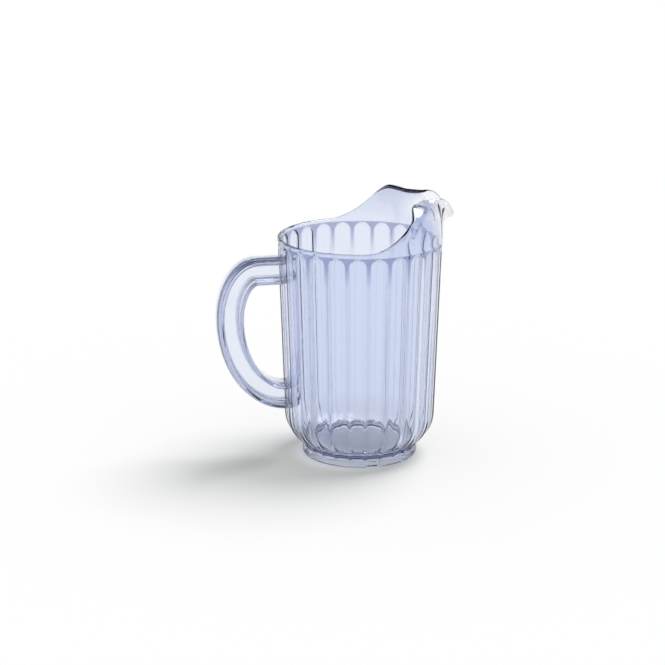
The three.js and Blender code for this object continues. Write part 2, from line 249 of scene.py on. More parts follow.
class PitcherStage(bpy.types.PropertyGroup):
    """Camera, light and floor."""

    azimuth: angle("Azimuth", -13.49, "Camera's turn round the pitcher")
    elevation: angle("Elevation", 16.2, "Camera's height above the horizon")
    distance: length("Distance", 1.578, "From the camera to the middle of the body")
    focus_height: length("Focus height", 0.1, "Height of the middle of the body")
    aim_left: length("Aim left", 0.0218, "How far left of the body's middle the camera aims")
    aim_down: length("Aim down", 0.0017, "How far below the body's middle the camera aims")
    lens: share("Lens", 107.1, "Focal length in millimetres")
    floor_radius: length("Floor radius", 9.0, "Radius of the floor")
    floor_colour: colour("Floor colour", (0.97, 0.97, 0.97), "Colour of the floor")
    world_light: share("World light", 0.39, "Strength of the even light from all round")
    sun_light: share("Sun light", 2.33, "Strength of the main light")
    sun_spread: angle("Sun spread", 36, "Apparent size of the main light")
    sun_azimuth: angle("Sun azimuth", 117, "Where the main light stands, as the camera's turn")
    sun_elevation: angle("Sun elevation", 60, "Height of the main light")
    ceiling: colour("Ceiling", (0.05, 0.05, 0.09), "Colour overhead that rims and edges pick up")


class PitcherSettings(bpy.types.PropertyGroup):
    """All settings of the pitcher."""

    body: pointer("Body", PitcherBodySizes, "Wall, flutes, foot and floor")
    hood: pointer("Hood", PitcherHoodSizes, "Plain band, rim, hood and spout")
    handle: pointer("Handle", PitcherHandleSizes, "Line and section of the handle")
    looks: pointer("Looks", PitcherLooks, "Colours and finish of the plastic")
    stage: pointer("Stage", PitcherStage, "Camera, light and floor")


# Points and curves


def axis_x(settings):
    """X of the body's own axis, which lies on the spout's side of the whole pitcher's middle."""
    return BODY_LOW.x + settings.body.ring_radius + settings.hood.band_step


def wall_radius(body, z):
    """Outside radius of the wall over its ridges."""
    return body.ring_radius - body.taper * (body.ring_height - z)


def circle(radius, turns):
    """Points at angles on a circle."""
    return np.column_stack((radius * np.cos(turns), radius * np.sin(turns)))


def arc(centre, radius, start, end, steps):
    """Points of an arc as (radius, height) pairs, both ends included."""
    return centre + circle(radius, np.linspace(start, end, steps + 1))


def bezier(points, t):
    """Points of a cubic Bezier curve at the shares t."""
    a, b, c, d = points
    s = 1 - t
    return s ** 3 * a + 3 * s * s * t * b + 3 * s * t * t * c + t ** 3 * d


def catmull_rom(points, steps):
    """A smooth curve through the inner points, with the first and last as its guides."""
    gaps = np.linalg.norm(np.diff(points[:, :3], axis=0), axis=1)
    knots = np.concatenate(([0], np.cumsum(np.sqrt(gaps))))
    curve = []
    for i in range(1, len(points) - 2):
        p = points[i - 1:i + 3]
        k = knots[i - 1:i + 3]
        t = np.linspace(k[1], k[2], steps, endpoint=False)[:, None]
        a = [((k[j + 1] - t) * p[j] + (t - k[j]) * p[j + 1]) / (k[j + 1] - k[j]) for j in range(3)]
        b = [((k[j + 2] - t) * a[j] + (t - k[j]) * a[j + 1]) / (k[j + 2] - k[j]) for j in range(2)]
        curve.append(((k[2] - t) * b[0] + (t - k[1]) * b[1]) / (k[2] - k[1]))
    return np.concatenate(curve + [points[-2:-1]])


def unit(vectors):
    """Vectors of length 1."""
    return vectors / np.linalg.norm(vectors, axis=-1, keepdims=True)


# Body


class BodyShape:
    """Rows of points that run up the outside of the body, over the rim and down the inside."""

    def __init__(self, settings):
        self.body = settings.body
        self.hood = settings.hood
        self.axis = axis_x(settings)
        columns = self.body.flutes * COLUMNS_PER_FLUTE
        self.turns = np.linspace(-math.pi, math.pi, columns, endpoint=False)
        self.rows = []
        self.fluted = []
        self.set_profile()

    def set_profile(self):
        """Arcs of the neck, the shoulder and the inside, each touching the part that it runs into."""
        body = self.body
        neck_x = body.foot_radius - body.neck_step + body.neck_fillet
        neck_z = body.foot_height + body.neck_step
        slope = math.hypot(1, body.taper)
        offset = wall_radius(body, 0) - body.shoulder * slope - neck_x
        half = offset * body.taper - neck_z
        rest = offset ** 2 + neck_z ** 2 - (body.shoulder + body.neck_fillet) ** 2
        z = (-half + math.sqrt(half ** 2 - slope ** 2 * rest)) / slope ** 2
        centre = (neck_x + offset + body.taper * z, z)
        bend = math.atan2(neck_z - centre[1], neck_x - centre[0])
        lean = math.atan(body.taper)
        inner = body.shoulder - body.wall
        self.neck = arc((neck_x, neck_z), body.neck_fillet, math.pi, math.pi + bend, NECK_STEPS)
        self.shoulder = arc(centre, body.shoulder, bend, -lean, SHOULDER_STEPS)
        self.inside = arc(centre, inner, -lean, -math.pi / 2, SHOULDER_STEPS)
        self.floor_top = centre[1] - inner

    def add(self, points, fluted=0.0):
        """Adds a row, and says how much of the flutes' depth it takes."""
        self.rows.append(points)
        self.fluted.append(fluted)

    def ring(self, radius, z):
        """A row round the axis."""
        return np.column_stack((circle(radius, self.turns), np.broadcast_to(z, self.turns.shape)))

    def add_rings(self, profile, fluted=0.0):
        """Adds a ring for each (radius, height) pair."""
        for radius, z in profile:
            self.add(self.ring(radius, z), fluted)

    def pole(self, z):
        """A row that is one point on the axis."""
        return np.array([[0.0, 0.0, z]])

    def add_foot(self):
        """Hollow under the floor, contact ring with its drain notches, and the foot's rounded edges."""
        body = self.body
        inner = body.foot_radius - body.foot_ring
        underside = self.floor_top - body.floor
        from_notch = np.abs(np.cos(self.turns)) * body.foot_radius - body.notch_width / 2
        raised = np.clip(-from_notch / body.notch_ease + 0.5, 0, 1)
        raised = body.notch_depth * raised ** 2 * (3 - 2 * raised)
        self.add(self.pole(underside))
        recess = np.linspace(0, inner - body.recess_slope, STEP_STEPS)[1:]
        self.add_rings((radius, underside) for radius in recess)
        edge = (inner + body.foot_round, body.foot_round)
        for r, z in arc(edge, body.foot_round, math.pi, 1.5 * math.pi, FOOT_STEPS):
            self.add(self.ring(r, np.maximum(z, raised)))
        edge = (body.foot_radius - body.foot_round, body.foot_round)
        for r, z in arc(edge, body.foot_round, -math.pi / 2, 0, FOOT_STEPS):
            self.add(self.ring(r, np.maximum(z, raised * (1 - z / body.foot_round) + z)))
        top = (body.foot_radius - body.neck_step, body.foot_height - body.neck_step)
        self.add_rings(arc(top, body.neck_step, 0, math.pi / 2, STEP_STEPS))

    def add_wall(self):
        """Neck, shoulder, wall and the flutes' arched tops, up to the ring."""
        body = self.body
        arch = math.pi * body.ring_radius / body.flutes - body.ridge_width / 2
        tops = body.ring_height - arch + arch * np.sin(np.linspace(0, math.pi / 2, ARCH_STEPS + 1))
        straight = np.linspace(self.shoulder[-1][1], tops[0], INNER_STEPS)[1:-1]
        heights = np.concatenate((straight, tops))
        wall = np.column_stack((wall_radius(body, heights), heights))
        self.add_rings(np.concatenate((self.neck, self.shoulder[1:], wall)), 1.0)

    def rim_stations(self):
        """Points of the rim from its level stretch to the spout's tip, with the wall's lean there."""
        body, hood = self.body, self.hood
        band = body.ring_radius + hood.band_step
        level = body.ring_height + hood.band_height
        crest = level + hood.height
        edge = crest - hood.edge_drop
        opening = band - hood.overhang
        self.band, self.level = band, level

        def roll(z):
            return np.arcsin(np.clip(1 - (crest - z) / hood.roll_height, 0, 1))

        start_x = band * math.cos(hood.rise_start)
        end_x = opening * math.cos(hood.rise_end)
        side = np.array((
            (start_x, level),
            (start_x + hood.rise_ease, level),
            (end_x - hood.rise_run, edge - hood.rise_steep),
            (end_x, edge),
        ))
        x, z = bezier(side, np.linspace(0, 1, RISE_STEPS + 1)[:, None]).T
        radius = band - hood.overhang * (1 - np.cos(roll(z)))
        climb = np.column_stack((x, np.sqrt(radius ** 2 - x ** 2), z, -roll(z)))

        half = hood.spout_width / 2
        start = np.array((opening + hood.spout_flare, half, edge, hood.spout_entry))
        lip_x = start[0] + hood.spout_channel
        spout_turn = math.atan2(half, start[0])
        across = np.array(CREST_SHARES)
        turns = hood.rise_end + (spout_turn - hood.rise_end) * across
        lean = -math.pi / 2 + (hood.spout_entry + math.pi / 2) * across ** 2
        crown = np.column_stack((circle(opening, turns), np.full(len(turns), crest), lean))

        along = np.array(LIP_SHARES)
        lip = np.column_stack((
            lip_x + (band + hood.spout_reach - lip_x) * along,
            half * (1 - along ** 2) ** hood.lip_round,
            edge - hood.spout_droop * along ** 2,
            hood.spout_tip * along,
        ))
        return np.concatenate((climb, crown, start[None], lip))

    def rim(self):
        """The rim's crown for every column, and the ways over its edge, out of the wall and up it."""
        hood = self.hood
        one_side = self.rim_stations()
        other = one_side[-2::-1] * (1, -1, 1, 1)
        before = hood.rise_start + hood.rise_ease / self.band
        guide = np.array((self.band * math.cos(before), self.band * math.sin(before), self.level, 0))
        stations = np.concatenate((guide[None], one_side, other, guide[None] * (1, -1, 1, 1)))
        line = catmull_rom(stations, SPLINE_STEPS)
        way = np.concatenate(([0], np.cumsum(np.linalg.norm(np.diff(line[:, :3], axis=0), axis=1))))
        at = (hood.rise_start - self.turns) / (2 * hood.rise_start) * way[-1]
        crown = np.column_stack([np.interp(at, way, line[:, i]) for i in range(4)])
        level = np.abs(self.turns) >= hood.rise_start
        crown[level, :3] = self.ring(self.band, self.level)[level]
        crown[level, 3] = 0
        out = unit(crown[:, :2])
        lean = crown[:, 3:4]
        place = crown[:, :3]
        run = unit(np.roll(place, -1, axis=0) - np.roll(place, 1, axis=0))
        along = unit(np.cross(np.column_stack((out * np.cos(lean), -np.sin(lean))), run))
        rise = np.column_stack((out * np.sin(lean), np.cos(lean)))
        return place, along, unit(np.cross(run, along)), unit(along + rise)

    def add_hood(self):
        """Band and hood outside, the rim's round crown, and the hood inside."""
        body, hood = self.body, self.hood
        crown, along, out_of_wall, up_wall = self.rim()
        up = np.array((0, 0, 1))
        base = self.ring(self.band, body.ring_height + hood.band_step)
        edge = crown - along * body.wall / 2
        span = np.linalg.norm(edge - base, axis=1, keepdims=True)
        guides = (base, base + up * span * hood.wall_pull, edge - up_wall * span * hood.rim_pull, edge)
        outside = np.stack([bezier(guides, t) for t in np.linspace(0, 1, HOOD_STEPS + 1)])
        around = np.roll(outside, -1, axis=1) - np.roll(outside, 1, axis=1)
        normal = unit(np.cross(around, np.gradient(outside, axis=0)))
        normal[-1] = out_of_wall
        nearby = range(-EVEN_COLUMNS, EVEN_COLUMNS + 1)
        normal = unit(sum(np.roll(normal, step, axis=1) for step in nearby))
        step = (body.ring_radius, body.ring_height + hood.band_step)
        self.add_rings(arc(step, hood.band_step, -math.pi / 2, 0, STEP_STEPS)[1:-1])
        for row in outside:
            self.add(row)
        for turn in np.linspace(0, math.pi, CROWN_STEPS + 1)[1:-1]:
            across = normal[-1] * (math.cos(turn) - 1) + along * math.sin(turn)
            self.add(outside[-1] + across * body.wall / 2)
        for row, out in zip(outside[::-1], normal[::-1]):
            self.add(row - out * body.wall)

    def add_inside(self):
        """Inner wall, its curve into the floor, and the floor."""
        top = self.body.ring_height + self.hood.band_step
        high = np.array((self.band - self.body.wall, top))
        self.add_rings(np.linspace(high, self.inside[0], INNER_STEPS)[1:-1])
        self.add_rings(self.inside)
        self.add_rings(np.linspace(self.inside[-1], (0, self.floor_top), STEP_STEPS + 1)[1:-1])
        self.add(self.pole(self.floor_top))

    def mesh(self, name):
        """The closed mesh, with each point's share of the flutes' depth as an attribute."""
        self.add_foot()
        self.add_wall()
        self.add_hood()
        self.add_inside()
        columns = len(self.turns)
        here = np.arange(columns)
        following = np.roll(here, -1)
        starts = np.cumsum([0] + [len(row) for row in self.rows])
        faces = []
        for low, high, start, end in zip(self.rows, self.rows[1:], starts, starts[1:]):
            if len(low) == 1:
                faces += np.column_stack((start + 0 * here, end + following, end + here)).tolist()
            elif len(high) == 1:
                faces += np.column_stack((start + here, start + following, end + 0 * here)).tolist()
            else:
                square = (start + here, start + following, end + following, end + here)
                faces += np.column_stack(square).tolist()
        points = np.concatenate(self.rows) + (self.axis, 0, 0)
        mesh = bpy.data.meshes.new(name)
        mesh.from_pydata(points.tolist(), [], faces)
        share_of_depth = np.repeat(self.fluted, [len(row) for row in self.rows]).astype(np.float32)
        mesh.attributes.new("fluted", "FLOAT", "POINT").data.foreach_set("value", share_of_depth)
        return mesh


# Handle


def handle_line(settings):
    """The handle's centre line as (x, z) points, both ends of which lie just inside the wall."""
    body, handle = settings.body, settings.handle
    axis = axis_x(settings)
    top = body.ring_height - handle.below_ring
    grip_z = top - handle.grip_drop
    grip_x = body.ring_radius + handle.finger_room + handle.depth / 2
    wall_top = wall_radius(body, top)
    wall_bottom = wall_radius(body, handle.bottom)
    arm_x = wall_top + handle.arm
    quarter = np.linspace(0, math.pi / 2, HANDLE_STEPS + 1)
    upper = np.column_stack((
        arm_x + (grip_x - arm_x) * np.sin(quarter),
        grip_z + handle.grip_drop * np.cos(quarter),
    ))
    lower = np.column_stack((
        wall_bottom + (grip_x - wall_bottom) * np.cos(quarter),
        grip_z - (grip_z - handle.bottom) * np.sin(quarter),
    ))
    clear = handle.flange / 2
    arm = np.linspace(wall_top + clear, arm_x, SPAN_STEPS)[:-1]
    straight = np.column_stack((arm, np.full(len(arm), top)))
    lower = lower[lower[:, 0] > wall_bottom + clear]
    ends = np.array(((wall_top - SUNK_END, top), (wall_bottom - SUNK_END, handle.bottom)))
    line = np.concatenate((ends[:1], straight, upper, lower[1:], ends[1:]))
    return line * (-1, 1) + (axis, 0)


def rounded(corners, steps):
    """An outline with each corner (x, y, radius) replaced by an arc."""
    outline = []
    points = np.array([corner[:2] for corner in corners])
    for i, (_, _, radius) in enumerate(corners):
        here = points[i]
        if radius == 0:
            outline.append(here)
            continue
        back = unit(points[i - 1] - here)
        on = unit(points[(i + 1) % len(points)] - here)
        half = math.acos(float(np.clip(back @ on, -1, 1))) / 2
        centre = here + unit(back + on) * radius / math.sin(half)
        start = here + back * radius / math.tan(half) - centre
        end = here + on * radius / math.tan(half) - centre
        sweep = math.atan2(start[0] * end[1] - start[1] * end[0], float(start @ end))
        for turn in np.linspace(0, sweep, steps + 1):
            c, s = math.cos(turn), math.sin(turn)
            outline.append(centre + (c * start[0] - s * start[1], s * start[0] + c * start[1]))
    return np.array(outline)


def evened(outline, longest):
    """A closed outline with points added so that no stretch of it is longer than a length."""
    points = []
    for here, following in zip(outline, np.roll(outline, -1, axis=0)):
        parts = math.ceil(np.linalg.norm(following - here) / longest)
        points += [here + (following - here) * part / parts for part in range(parts)]
    return np.array(points)


def handle_section(handle):
    """The I-section as (towards the fingers, across) points, with a crowned back."""
    side = handle.width / 2
    fingers = handle.depth / 2
    back = handle.crown - fingers
    web = handle.web / 2
    inner = fingers - handle.flange
    outer = back + handle.flange
    edge = handle.edge_round
    across = np.linspace(-side, side, SPAN_STEPS + 1)
    crown = [(back - handle.crown * (1 - (y / side) ** 2), y, 0.0) for y in across[1:-1]]
    half = [
        (back, side, edge),
        (outer, side, edge),
        (outer, web, handle.fillet),
        (inner, web, handle.fillet),
        (inner, side, edge),
        (fingers, side, edge),
    ]
    other = [(x, -y, radius) for x, y, radius in reversed(half)]
    return evened(rounded(crown + half + other, ROUND_STEPS), SECTION_STEP)


def add_object(name, data):
    """A new object in the scene."""
    obj = bpy.data.objects.new(name, data)
    bpy.context.scene.collection.objects.link(obj)
    return obj


def poly_curve(name, points, cyclic):
    """A curve object of straight stretches through points."""
    curve = bpy.data.curves.new(name, "CURVE")
    curve.dimensions = "3D"
    spline = curve.splines.new("POLY")
    spline.points.add(len(points) - 1)
    for target, point in zip(spline.points, points):
        target.co = (*point, 1.0)
    spline.use_cyclic_u = cyclic
    return add_object(name, curve)


# Node trees


class Nodes:
    """Adds nodes to a tree, with their inputs linked or set as they are made."""

    def __init__(self, tree):
        self.tree = tree

    def feed(self, socket, value):
        """Links a socket, or sets its value."""
        if isinstance(value, bpy.types.NodeSocket):
            self.tree.links.new(value, socket)
        else:
            socket.default_value = value

    def add(self, kind, inputs=None, **settings):
        """Adds a node and feeds the inputs that are named."""
        node = self.tree.nodes.new(kind)
        for name, value in settings.items():
            setattr(node, name, value)
        for name, value in (inputs or {}).items():
            self.feed(node.inputs[name], value)
        return node

    def out(self, kind, inputs=None, **settings):
        """The first output of a node that is added."""
        return self.add(kind, inputs, **settings).outputs[0]

    def math(self, operation, *values):
        """The result of a Math node."""
        return self.out("ShaderNodeMath", dict(enumerate(values)), operation=operation)

    def minus(self, first, second):
        """A difference."""
        return self.math("SUBTRACT", first, second)

    def times(self, first, second):
        """A product."""
        return self.math("MULTIPLY", first, second)

    def compare(self, operation, first, second):
        """Whether one value is more or less than another."""
        return self.out("FunctionNodeCompare", {0: first, 1: second}, operation=operation)

    def attribute(self, name, kind):
        """A named attribute of the geometry."""
        node = self.add("GeometryNodeInputNamedAttribute", {"Name": name}, data_type=kind)
        return node.outputs["Attribute"]

    def mix(self, factor, first, second):
        """Two colours mixed."""
        node = self.add("ShaderNodeMix", data_type="RGBA")
        for index, value in ((0, factor), (6, first), (7, second)):
            self.feed(node.inputs[index], value)
        return node.outputs[2]

    def fade(self, value, start, end, low=0.0, high=1.0):
        """A value's way from start to end, as a number from low to high."""
        return self.out("ShaderNodeMapRange", {0: value, 1: start, 2: end, 3: low, 4: high})

    def noise(self, vector, scale, detail):
        """The value of a noise texture."""
        return self.out("ShaderNodeTexNoise", {"Vector": vector, "Scale": scale, "Detail": detail})

    def xyz(self, vector):
        """The three parts of a vector."""
        return self.add("ShaderNodeSeparateXYZ", {"Vector": vector}).outputs

    def group(self, kind, tree, inputs):
        """The outputs of a node group that is put into this tree."""
        return self.add(kind, inputs, node_tree=tree).outputs


def new_tree(kind, name, inputs, outputs):
    """A node group with its sockets, as (tree, nodes, group input's outputs)."""
    tree = bpy.data.node_groups.new(name, kind)
    for socket_name, socket_type in inputs:
        tree.interface.new_socket(name=socket_name, in_out="INPUT", socket_type=socket_type)
    for socket_name, socket_type in outputs:
        tree.interface.new_socket(name=socket_name, in_out="OUTPUT", socket_type=socket_type)
    nodes = Nodes(tree)
    return tree, nodes, nodes.add("NodeGroupInput").outputs


def sockets(kind, *names):
    """Sockets of one kind."""
    return [(name, f"NodeSocket{kind}") for name in names]


FLUTE_NAMES = (
    "Flutes",
    "Flute Depth",
    "Flute Flatness",
    "Ridge Width",
    "Ridge Round",
    "Ring Radius",
    "Ring Height",
)
FLUTE_INPUTS = sockets("Float", *FLUTE_NAMES)
GEOMETRY = sockets("Geometry", "Geometry")


def flute_values(body):
    """Values for the inputs that the flutes need, which are named as the settings are."""
    return {name: float(getattr(body, name.lower().replace(" ", "_"))) for name in FLUTE_NAMES}


def flute_share(nodes, given, turn, height):
    """The share of the flutes' depth at an angle round the body and a height, in any kind of tree."""
    turns = nodes.math("DIVIDE", nodes.times(turn, given["Flutes"]), math.tau)
    off_centre = nodes.math("ABSOLUTE", nodes.minus(turns, nodes.math("ROUND", turns)))
    pitch = nodes.math("DIVIDE", nodes.times(given["Ring Radius"], math.tau), given["Flutes"])
    across = nodes.times(off_centre, pitch)
    arch = nodes.times(nodes.minus(pitch, given["Ridge Width"]), 0.5)
    arch_foot = nodes.minus(given["Ring Height"], arch)
    rise = nodes.math("MAXIMUM", nodes.minus(height, arch_foot), 0.0)
    across_squared = nodes.times(across, across)
    far = nodes.math("MULTIPLY_ADD", rise, rise, across_squared)
    far = nodes.math("DIVIDE", far, nodes.times(arch, arch))
    left = nodes.minus(1.0, nodes.math("POWER", far, given["Flute Flatness"]))
    return nodes.math("SMOOTH_MAX", left, 0.0, given["Ridge Round"])


def flute_rule():
    """Node group: how deep the flutes are at an angle round the body and a height."""
    name = "flute_rule"
    if name in bpy.data.node_groups:
        return bpy.data.node_groups[name]
    inputs = sockets("Float", "Angle", "Height") + FLUTE_INPUTS
    outputs = sockets("Float", "Depth")
    tree, nodes, given = new_tree("GeometryNodeTree", name, inputs, outputs)
    fluted = flute_share(nodes, given, given["Angle"], given["Height"])
    nodes.add("NodeGroupOutput", {"Depth": nodes.times(fluted, given["Flute Depth"])})
    return tree


def add_flute_rule(nodes, given, turn, height):
    """The flute rule's depth inside another tree that has the same inputs."""
    inputs = {name: given[name] for name in FLUTE_NAMES}
    inputs.update({"Angle": turn, "Height": height})
    return nodes.group("GeometryNodeGroup", flute_rule(), inputs)["Depth"]


def finish_tree(nodes, geometry, plastic, chosen, second):
    """Smooth faces and real geometry of one plastic, with a second one on the chosen faces."""
    smooth = nodes.out("GeometryNodeSetShadeSmooth", {"Geometry": geometry})
    real = nodes.out("GeometryNodeRealizeInstances", {"Geometry": smooth})
    clear = nodes.out("GeometryNodeSetMaterial", {"Geometry": real, "Material": plastic})
    inputs = {"Geometry": clear, "Selection": chosen, "Material": second}
    nodes.add("NodeGroupOutput", {"Geometry": nodes.out("GeometryNodeSetMaterial", inputs)})


def fluted_wall_tree():
    """Geometry nodes that press the flutes into the plain wall of the body."""
    inputs = GEOMETRY + sockets("Float", "Axis X") + FLUTE_INPUTS
    inputs += sockets("Material", "Plastic", "Worn")
    tree, nodes, given = new_tree("GeometryNodeTree", "fluted_wall", inputs, GEOMETRY)
    x, y, z = nodes.xyz(nodes.out("GeometryNodeInputPosition"))
    turn = nodes.math("ARCTAN2", y, nodes.minus(x, given["Axis X"]))
    depth = add_flute_rule(nodes, given, turn, z)
    inward = nodes.times(nodes.times(depth, nodes.attribute("fluted", "FLOAT")), -1.0)
    move_x = nodes.times(inward, nodes.math("COSINE", turn))
    move_y = nodes.times(inward, nodes.math("SINE", turn))
    move = nodes.out("ShaderNodeCombineXYZ", {"X": move_x, "Y": move_y})
    wall = nodes.out("GeometryNodeSetPosition", {"Geometry": given["Geometry"], "Offset": move})
    stood_on = nodes.compare("LESS_THAN", z, FLAT_ENOUGH)
    finish_tree(nodes, wall, given["Plastic"], stood_on, given["Worn"])
    return tree


def swept_handle_tree():
    """Geometry nodes that sweep the section along the handle's line and end it on the fluted wall."""
    inputs = GEOMETRY + sockets("Object", "Section")
    inputs += sockets("Float", "Axis X", "Taper", "Joint Gap") + FLUTE_INPUTS
    inputs += sockets("Material", "Plastic", "Bond")
    tree, nodes, given = new_tree("GeometryNodeTree", "swept_handle", inputs, GEOMETRY)
    section = nodes.add("GeometryNodeObjectInfo", {"Object": given["Section"]}).outputs["Geometry"]
    curves = {"Curve": given["Geometry"], "Profile Curve": section, "Fill Caps": True}
    sweep = nodes.out("GeometryNodeCurveToMesh", curves)
    corners = nodes.add("GeometryNodeInputMeshFaceNeighbors").outputs["Vertex Count"]
    capped = nodes.compare("GREATER_THAN", corners, SWEPT_CORNERS)
    marked = nodes.out(
        "GeometryNodeStoreNamedAttribute",
        {"Geometry": sweep, "Name": "bonded", "Value": capped},
        data_type="BOOLEAN",
        domain="FACE",
    )
    cut = nodes.out("GeometryNodeTriangulate", {"Mesh": marked, "Selection": capped})
    x, y, z = nodes.xyz(nodes.out("GeometryNodeInputPosition"))
    drop = nodes.minus(given["Ring Height"], z)
    radius = nodes.minus(given["Ring Radius"], nodes.times(drop, given["Taper"]))
    turn = nodes.math("ARCSINE", nodes.math("DIVIDE", y, radius))
    depth = add_flute_rule(nodes, given, turn, z)
    seat = nodes.math("ADD", nodes.minus(radius, depth), given["Joint Gap"])
    flat = nodes.minus(nodes.times(seat, seat), nodes.times(y, y))
    wall_x = nodes.minus(given["Axis X"], nodes.math("SQRT", flat))
    inside = nodes.compare("GREATER_THAN", x, nodes.minus(wall_x, SEAT_SLACK))
    seated = nodes.out("ShaderNodeCombineXYZ", {"X": wall_x, "Y": y, "Z": z})
    inputs = {"Geometry": cut, "Selection": inside, "Position": seated}
    ended = nodes.out("GeometryNodeSetPosition", inputs)
    finish_tree(nodes, ended, given["Plastic"], nodes.attribute("bonded", "BOOLEAN"), given["Bond"])
    return tree


def run_nodes(obj, tree, values, name):
    """Runs a tree on an object and returns the result as a plain mesh object, in place of the first."""
    modifier = obj.modifiers.new(tree.name, "NODES")
    modifier.node_group = tree
    sockets = [item for item in tree.interface.items_tree if item.in_out == "INPUT"]
    identifiers = {socket.name: socket.identifier for socket in sockets}
    for input_name, value in values.items():
        modifier[identifiers[input_name]] = value
    evaluated = obj.evaluated_get(bpy.context.evaluated_depsgraph_get())
    mesh = bpy.data.meshes.new_from_object(evaluated)
    if not mesh.polygons:
        raise RuntimeError(f"{name} has no faces")
    mesh.name = name
    bpy.data.objects.remove(obj)
    mesh.set_sharp_from_angle(angle=SHARP_ANGLE)
    return add_object(name, mesh)


# Materials


def moulded_surface():
    """Shader node group: the faint waves, scratches and scuffs of moulded plastic in use."""
    name = "moulded_surface"
    if name in bpy.data.node_groups:
        return bpy.data.node_groups[name]
    inputs = sockets("Color", "Tint", "Worn Tint")
    inputs += sockets("Float", "Polish", "Scuff", "Foot Height", "Wave Size")
    outputs = sockets("Color", "Color") + sockets("Float", "Roughness", "Height")
    tree, nodes, given = new_tree("ShaderNodeTree", name, inputs, outputs)
    place = nodes.add("ShaderNodeTexCoord").outputs["Object"]
    waves = nodes.noise(place, nodes.math("DIVIDE", 1.0, given["Wave Size"]), 1.0)
    turned = {"Vector": place, "Rotation": SCRATCH_TURN, "Scale": SCRATCH_SCALE}
    strokes = nodes.noise(nodes.out("ShaderNodeMapping", turned), 1.0, 2.0)
    scratched = nodes.fade(strokes, *SCRATCH_RANGE)
    smeared = nodes.fade(nodes.noise(place, SMEAR_SCALE, 3.0), *SMEAR_RANGE)
    low = nodes.fade(nodes.xyz(place)["Z"], given["Foot Height"], 0.0)
    stood_on = nodes.times(low, nodes.math("ADD", smeared, FOOT_WEAR))
    smears = nodes.times(smeared, SMEAR_WEAR)
    worn = nodes.math("MULTIPLY_ADD", scratched, SCRATCH_WEAR, smears)
    worn = nodes.math("MINIMUM", nodes.math("ADD", worn, stood_on), 1.0)
    step = nodes.minus(given["Scuff"], given["Polish"])
    roughness = nodes.math("MULTIPLY_ADD", worn, step, given["Polish"])
    tint = nodes.mix(worn, given["Tint"], given["Worn Tint"])
    bumps = nodes.math("MULTIPLY_ADD", scratched, -SCRATCH_DEPTH, waves)
    nodes.add("NodeGroupOutput", {"Color": tint, "Roughness": roughness, "Height": bumps})
    return tree


def fresh_nodes(owner):
    """The emptied node tree of a material or a world."""
    owner.use_nodes = True
    owner.node_tree.nodes.clear()
    return Nodes(owner.node_tree)


def add_surface(nodes, tint, worn, polish, scuff, foot_height, wave_size):
    """The moulded surface's outputs in a material."""
    return nodes.group("ShaderNodeGroup", moulded_surface(), {
        "Tint": (*tint, 1),
        "Worn Tint": (*(channel * worn for channel in tint), 1),
        "Polish": polish,
        "Scuff": scuff,
        "Foot Height": foot_height,
        "Wave Size": wave_size,
    })


def add_plastic(nodes, surface, tint, bump, ior, clear):
    """The plastic itself, with a moulded surface."""
    return nodes.out("ShaderNodeBsdfPrincipled", {
        "Base Color": tint,
        "Roughness": surface["Roughness"],
        "Normal": nodes.out("ShaderNodeBump", {"Height": surface["Height"], **bump}),
        "IOR": ior,
        "Transmission Weight": clear,
    })


def ridge_shade_share(nodes, settings, forward, y, z):
    """How much painted shade a spot gets on the ridges between two flutes, most at their tops."""
    ring = settings.body.ring_height
    turn = nodes.math("ARCTAN2", y, forward)
    fluted = flute_share(nodes, flute_values(settings.body), turn, z)
    shaded = nodes.fade(fluted, *RIDGE_SHADE_RANGE)
    below_ring = nodes.math("LESS_THAN", z, ring)
    fade = nodes.fade(z, ring - RIDGE_SHADE_FADE[0], ring - RIDGE_SHADE_FADE[1], RIDGE_SHADE_LEAST)
    return nodes.times(nodes.times(shaded, below_ring), fade)


def body_tints(nodes, settings, tint, shade):
    """The tint and the shadow's tint of the body, with painted reflection on its hood, a clear spout,
    painted shade on its ridges and painted light on its base.
    """
    looks = settings.looks
    level = settings.body.ring_height + settings.hood.band_height
    x, y, z = nodes.xyz(nodes.add("ShaderNodeTexCoord").outputs["Object"])
    forward = nodes.minus(x, axis_x(settings))
    raised = nodes.fade(z, level, level + SPOUT_FADE)
    spout = nodes.times(nodes.fade(forward, *SPOUT_FRONT), raised)
    base = nodes.fade(z, *LIGHTENED_BASE_FADE)
    for part, other in (
        # painted reflection on the hood, darker and bluer towards its crest
        (nodes.fade(z, level, level + HOOD_REFLECTION_FADE), looks.hood_reflection_tint),
        (spout, looks.spout_tint),
        # painted shade on the ridges between the flutes, most near their tops
        (ridge_shade_share(nodes, settings, forward, y, z), looks.ridge_shade_tint),
        # painted light: the floor and the foot tinted nearly clear, lifting the shade seen through them
        (base, looks.lightened_base_tint),
    ):
        tint = nodes.mix(part, tint, (*other, 1))
    # in the base the shadow colour lets more light through to the ground beneath
    return tint, nodes.mix(base, shade, (*looks.lightened_base_tint, 1))


